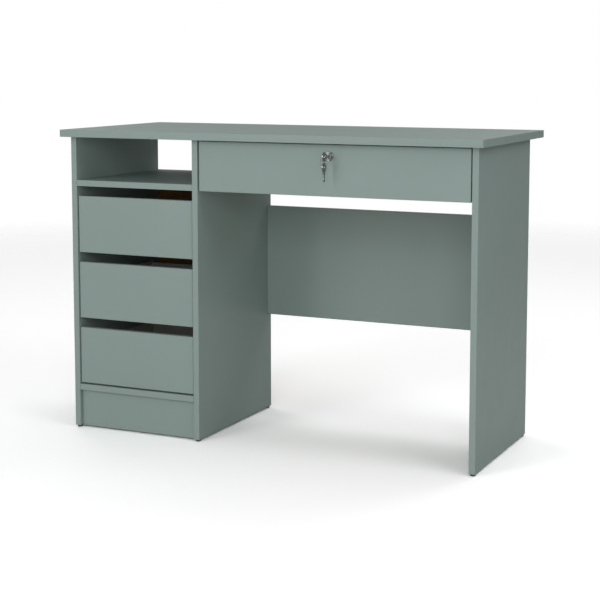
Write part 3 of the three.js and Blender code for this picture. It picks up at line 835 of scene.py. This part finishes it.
def add_key_ring():
    """A split ring: two turns of flat wire, with a step between them where its ends lie."""
    low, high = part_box("key_ring")
    centre = (low + high) / 2
    wire = 0.6 * MM
    radius = (high.x - low.x) / 2 - wire
    half_wide, half_deep = 0.5 * MM, 0.27 * MM
    shift = wire - half_deep
    start = math.radians(250)
    steps, sides = 160, 12
    gap_share = 0.994
    step_start, step_length = 0.93, 0.14
    squareness = 0.6
    bm = bmesh.new()
    rows = []
    for step in range(steps + 1):
        turns = 2 * step / steps
        angle = start + 2 * math.pi * turns * gap_share
        crossing = max(0.0, min(1.0, (turns - step_start) / step_length))
        smooth = crossing * crossing * (3 - 2 * crossing)
        outward = Vector((math.cos(angle), 0, math.sin(angle)))
        middle = centre + outward * radius + Y * shift * (2 * smooth - 1)
        row = []
        for corner in range(sides):
            turn = 2 * math.pi * (corner + 0.5) / sides
            across, deep = math.cos(turn), math.sin(turn)
            across = math.copysign(abs(across) ** squareness, across) * half_wide
            deep = math.copysign(abs(deep) ** squareness, deep) * half_deep
            row.append(bm.verts.new(middle + outward * across + Y * deep))
        rows.append(row)
    for first, second in zip(rows, rows[1:]):
        for corner in range(sides):
            following = (corner + 1) % sides
            bm.faces.new((first[corner], first[following], second[following], second[corner]))
    bm.faces.new(rows[0])
    bm.faces.new(rows[-1])
    piece = from_bmesh("split_ring", bm, "nickel_plate")
    shade_by_angle(piece, 60)
    give(piece, "key_ring", "nickel_plate", "key_ring")


add_lock_case()
add_rosette()
add_plug()
add_key("turned_key", "key_in_lock", "key", Y, X)
add_key("hanging_key", "spare_key", "spare_key", -Z, X)
add_key_ring()

# ------------------------------------------------------------------ screws, nails and glides


def taken_mesh(piece):
    """A piece's mesh, for copying; the piece itself is removed."""
    mesh = piece.data
    bpy.data.objects.remove(piece)
    return mesh


def screw_head(radius, height):
    """A domed screw head about +Z with a cross recess."""
    edge = height * 0.35
    steps = 6
    profile = [(0, 0), (radius, 0), (radius, edge)]
    for step in range(1, steps + 1):
        turn = math.pi / 2 * step / steps
        profile.append((radius * math.cos(turn), edge + (height - edge) * math.sin(turn)))
    profile[-1] = (0, height)
    piece = turned("screw_head", profile, (0, 0, 0), Z, "zinc_plated_steel", 32)
    arm, wide, deep = radius * 0.62, radius * 0.16, height * 0.6
    for half_x, half_y in ((arm, wide), (wide, arm)):
        near, far = (-half_x, -half_y, height - deep), (half_x, half_y, height + OVERSHOOT)
        carve(piece, block(near, far, "zinc_plated_steel"))
    return taken_mesh(piece)


def add_heads(name, body, mesh, places):
    """Copies of one head as one piece, each turned differently.

    The places are pairs of a point and the direction that the head faces.
    """
    first_turn, further_turn = 0.7, 1.9
    bm = bmesh.new()
    for number, (point, direction) in enumerate(places):
        copy = mesh.copy()
        spin = Matrix.Rotation(first_turn + further_turn * number, 4, "Z")
        copy.transform(towards(direction, point) @ spin)
        bm.from_mesh(copy)
        bpy.data.meshes.remove(copy)
    new = bpy.data.meshes.new(name)
    bm.to_mesh(new)
    bm.free()
    new.materials.append(looks["zinc_plated_steel"])
    piece = link(name, new)
    shade_by_angle(piece)
    return give(piece, body, "zinc_plated_steel")


small_head = screw_head(3.5 * MM, 1.7 * MM)
low_head = screw_head(3.3 * MM, 0.7 * MM)


def add_runner_screws():
    """Two screws in the counterbores of each runner."""
    depth, from_end = 2.6 * MM, 40 * MM
    for drawer in DRAWERS:
        for side, facing in (("left", 1), ("right", -1)):
            node = f"{drawer}_runner_{side}"
            low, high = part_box(node)
            x = (high.x if facing > 0 else low.x) - facing * depth
            z = (low.z + high.z) / 2
            places = [(Vector((x, y, z)), X * facing) for y in (low.y + from_end, high.y - from_end)]
            add_heads(node + "_screws", "carcass", small_head, places)


def add_bracket_screws():
    """Two screws in each corner bracket: one up into the desktop, one into the upright."""
    leg, steel = 14 * MM, 2 * MM
    for side, facing in (("left", 1), ("middle", 1), ("right", -1)):
        low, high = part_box("corner_bracket_" + side)
        y = (low.y + high.y) / 2
        corner = low.x if facing > 0 else high.x
        up = (Vector((corner + facing * leg, y, high.z - steel)), -Z)
        across = (Vector((corner + facing * steel, y, high.z - leg)), X * facing)
        add_heads(f"corner_bracket_{side}_screws", "carcass", small_head, [up, across])


def add_strike_screws():
    """A flat screw at each end of the strike plate."""
    low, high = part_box("strike_plate")
    y = (low.y + high.y) / 2
    inset = 6 * MM
    places = [(Vector((x, y, low.z)), -Z) for x in (low.x + inset, high.x - inset)]
    add_heads("strike_plate_screws", "carcass", low_head, places)


def add_lock_screws():
    """The four screws that hold the lock's case, each in place of its CAD node."""
    head_height = 1.8 * MM
    for number, (x, _, high_y, z) in enumerate(screw_places(), start=1):
        place = Vector((x, high_y - head_height, z))
        piece = add_heads(f"lock_screw_head_{number}", "centre_drawer", small_head, [(place, Y)])
        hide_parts(f"lock_screw_{number}")


def add_back_nails():
    """Round-headed nails along the edges of the thin back panel."""
    low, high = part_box("pedestal_back_panel")
    radius, crown, height = 2.4 * MM, 1.7 * MM, 0.5 * MM
    profile = [(0, 0), (radius, 0), (radius, height * 0.4), (crown, height * 0.85), (0, height)]
    head = taken_mesh(turned("nail_head", profile, (0, 0, 0), Z, "zinc_plated_steel", 24))
    rows = 7
    inset = 6.5 * MM
    from_bottom, both_ends = 12 * MM, 20 * MM
    places = []
    for row in range(rows):
        z = low.z + from_bottom + (high.z - low.z - both_ends) * row / (rows - 1)
        places += [(Vector((x, high.y, z)), Y) for x in (low.x + inset, high.x - inset)]
    for z in (low.z + inset, high.z - inset):
        for share in (0.26, 0.5, 0.74):
            places.append((Vector((low.x + (high.x - low.x) * share, high.y, z)), Y))
    add_heads("back_panel_nails", "carcass", head, places)


def add_modesty_panel():
    """The modesty panel, with the four cam fittings that hold it let into its back."""
    low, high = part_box("modesty_panel")
    radius, depth = 7.5 * MM, 2.5 * MM
    inset, from_end = 45 * MM, 34 * MM
    centres = [(x, z) for z in (low.z + inset, high.z - inset) for x in (low.x + from_end, high.x - from_end)]
    piece = board("modesty_board", "modesty_panel", 1)
    pockets = []
    for x, z in centres:
        start, end = Vector((x, high.y - depth, z)), Vector((x, high.y + OVERSHOOT, z))
        pockets.append(rod(start, end, radius + 0.15 * MM, "chipboard", 48))
    carve(piece, *pockets)
    finish_board(piece, "carcass", "modesty_panel")
    thick = 1.8 * MM
    bevel, rim, floor = 0.3 * MM, 1.2 * MM, 0.35 * MM
    profile = [(0, 0), (radius, 0), (radius, thick - bevel), (radius - bevel, thick)]
    profile += [(radius - rim, thick), (radius - rim - bevel, thick - floor), (0, thick - floor)]
    cam = turned("cam", profile, (0, 0, 0), Z, "zinc_plated_steel", 48)
    arm, wide = 3.2 * MM, 0.6 * MM
    for half_x, half_y in ((arm, wide), (wide, arm)):
        near, far = (-half_x, -half_y, 0.6 * MM), (half_x, half_y, 3 * MM)
        carve(cam, block(near, far, "zinc_plated_steel"))
    bottom = high.y - depth + 0.1 * MM
    places = [(Vector((x, bottom, z)), Y) for x, z in centres]
    add_heads("modesty_cams", "carcass", taken_mesh(cam), places)


def add_glides():
    """Domed plastic glides, each with a flat foot and a step under the upright."""
    for side in ("left", "middle", "right"):
        for end in ("front", "back"):
            node = f"floor_glide_{side}_{end}"
            low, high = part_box(node)
            middle = (low + high) / 2
            radius = (high.x - low.x) / 2
            foot_radius, dome, step = radius * 0.7, 1.6 * MM, 0.3 * MM
            top = 4.7 * MM
            profile = [(0, 0), (foot_radius, 0)]
            profile += arc((foot_radius, dome), dome, 285, 345, 4)
            profile += [(radius, 2.6 * MM), (radius, 3.9 * MM), (radius - step, 4.1 * MM)]
            profile += [(radius - step, top), (0, top)]
            piece = turned(node + "_foot", profile, (middle.x, middle.y, low.z), Z, "glide_plastic", 48)
            shade_by_angle(piece)
            give(piece, "carcass", "glide_plastic", node)


add_runner_screws()
add_bracket_screws()
add_strike_screws()
add_lock_screws()
add_back_nails()
add_modesty_panel()
add_glides()
